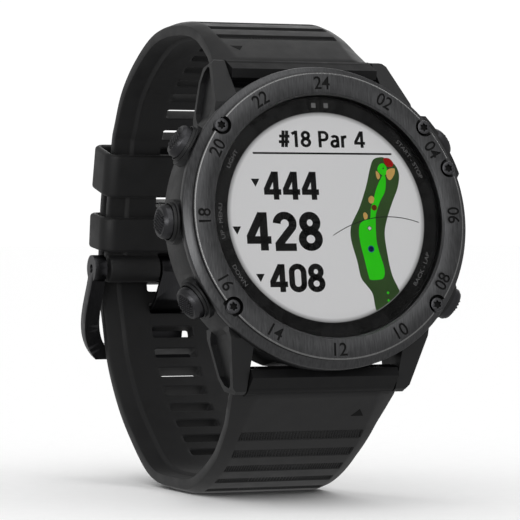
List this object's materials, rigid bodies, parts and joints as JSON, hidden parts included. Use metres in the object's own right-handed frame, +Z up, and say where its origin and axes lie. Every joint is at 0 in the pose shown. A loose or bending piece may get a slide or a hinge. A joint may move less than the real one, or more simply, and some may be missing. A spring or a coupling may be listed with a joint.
{
  "type": "golf gps watch",
  "caption": "Round sports watch for golf on a closed silicone strap with a slotted tail, keepers and a pin buckle; push buttons round the case.",
  "frame": {"origin": "middle of the short flat at the bottom of the strap loop, where the closed watch stands", "axes": "+X to the wearer's 3 o'clock along the wrist, -Y out of the face, which leans back 10.2 degrees, +Z up towards 12 o'clock"},
  "size_m": [0.0541, 0.0865, 0.0824],
  "materials": {
    "case_polymer": "fine matte fibre-reinforced polymer",
    "bezel_titanium": "dark coated titanium, linear brushing",
    "button_steel": "dark steel with knurled ends",
    "buckle_steel": "dark brushed steel",
    "screw_steel": "black coated steel",
    "bright_steel": "machined steel",
    "strap_silicone": "matte silicone",
    "connector_polymer": "satin polymer",
    "seal_rubber": "black rubber",
    "lens_glass": "clear scratch-proof glass",
    "mask_black": "black print behind the lens",
    "display_grey": "reflective colour display",
    "backlight_white": "light guide",
    "frame_polymer": "moulded polymer",
    "board_green": "solder-masked board",
    "chip_black": "moulded chip",
    "contact_gold": "gold plating",
    "antenna_copper": "copper",
    "cell_foil": "foil pouch",
    "rear_steel": "satin steel back",
    "sensor_glass": "dark optical window",
    "led_yellow": "emitter"
  },
  "bodies": {
    "watch": {"mid_case": "case_polymer", "bezel": "bezel_titanium", "bezel_screws": "screw_steel", "lens": "lens_glass", "lens_mask": "mask_black", "lens_gasket": "seal_rubber", "display_panel": "display_grey", "display_backlight": "backlight_white", "inner_frame": "frame_polymer", "main_board": "board_green", "board_chips": "chip_black", "button_switches": "bright_steel", "gps_antenna": "antenna_copper", "battery": "cell_foil", "motor_case": "bright_steel", "piezo_buzzer": "contact_gold", "barometer": "bright_steel", "rear_cover": "rear_steel", "rear_cover_gasket": "seal_rubber", "rear_cover_screws": "screw_steel", "sensor_window": "sensor_glass", "sensor_board": "board_green", "sensor_leds": "led_yellow", "charging_socket": "chip_black", "charging_pins": "contact_gold", "button_sleeves": "bright_steel", "lug_bar_upper": "bright_steel", "lug_bar_lower": "bright_steel", "connector_upper": "connector_polymer", "connector_lower": "connector_polymer", "strap_upper": "strap_silicone", "strap_lower": "strap_silicone", "buckle_pin": "screw_steel"},
    "motor_rotor": {"motor_rotor": "bright_steel"},
    "keeper_free": {"keeper_free": "strap_silicone"},
    "keeper_buckle": {"keeper_buckle": "strap_silicone"},
    "buckle_frame": {"buckle_frame": "buckle_steel"},
    "buckle_tongue": {"buckle_tongue": "buckle_steel"},
    "latch_upper": {"latch_upper": "connector_polymer"},
    "latch_lower": {"latch_lower": "connector_polymer"},
    "button_light": {"button_light": "button_steel", "seal_light": "seal_rubber", "clip_light": "bright_steel"},
    "button_up": {"button_up": "button_steel", "seal_up": "seal_rubber", "clip_up": "bright_steel"},
    "button_down": {"button_down": "button_steel", "seal_down": "seal_rubber", "clip_down": "bright_steel"},
    "button_start": {"button_start": "button_steel", "seal_start": "seal_rubber", "clip_start": "bright_steel"},
    "button_back": {"button_back": "button_steel", "seal_back": "seal_rubber", "clip_back": "bright_steel"}
  },
  "joints": [
    {"name": "light_press", "type": "slide", "parent": "watch", "child": "button_light", "axis": [0.866, -0.0885, -0.4921], "range_m": [0, 0.0007], "stiffness_N_per_m": 1500, "springref_m": -0.0006},
    {"name": "up_press", "type": "slide", "parent": "watch", "child": "button_up", "axis": [1, 0, 0], "range_m": [0, 0.0007], "stiffness_N_per_m": 1500, "springref_m": -0.0006},
    {"name": "down_press", "type": "slide", "parent": "watch", "child": "button_down", "axis": [0.866, 0.0885, 0.4921], "range_m": [0, 0.0007], "stiffness_N_per_m": 1500, "springref_m": -0.0006},
    {"name": "start_press", "type": "slide", "parent": "watch", "child": "button_start", "axis": [-0.866, -0.0885, -0.4921], "range_m": [0, 0.0007], "stiffness_N_per_m": 1500, "springref_m": -0.0006},
    {"name": "back_press", "type": "slide", "parent": "watch", "child": "button_back", "axis": [-0.8572, 0.0912, 0.5069], "range_m": [0, 0.0007], "stiffness_N_per_m": 1500, "springref_m": -0.0006},
    {"name": "keeper_free_slide", "type": "slide", "parent": "watch", "child": "keeper_free", "axis": [0, -0.2425, 0.9701], "range_m": [-0.0015, 0.0025]},
    {"name": "keeper_buckle_slide", "type": "slide", "parent": "watch", "child": "keeper_buckle", "axis": [0, -0.1213, 0.9926], "range_m": [0, 0.0018]},
    {"name": "buckle_turn", "type": "hinge", "parent": "watch", "child": "buckle_frame", "pos_m": [0, 0.0363, 0.0387], "axis": [1, 0, 0], "range_deg": [0, 2]},
    {"name": "tongue_turn", "type": "hinge", "parent": "watch", "child": "buckle_tongue", "pos_m": [0, 0.0363, 0.0387], "axis": [1, 0, 0], "range_deg": [0, 2]},
    {"name": "latch_upper_slide", "type": "slide", "parent": "watch", "child": "latch_upper", "axis": [0, 0.9038, 0.4279], "range_m": [0, 0.0016], "stiffness_N_per_m": 600, "springref_m": -0.001},
    {"name": "latch_lower_slide", "type": "slide", "parent": "watch", "child": "latch_lower", "axis": [0, 0.7302, -0.6832], "range_m": [0, 0.0016], "stiffness_N_per_m": 600, "springref_m": -0.001},
    {"name": "motor_spin", "type": "hinge", "parent": "watch", "child": "motor_rotor", "pos_m": [0.0084, -0.03175, 0.0372], "axis": [0, -0.9842, 0.1771], "continuous": true}
  ],
  "couplings": [
    {"joint": "tongue_turn", "follows": "buckle_turn", "ratio": 1}
  ]
}
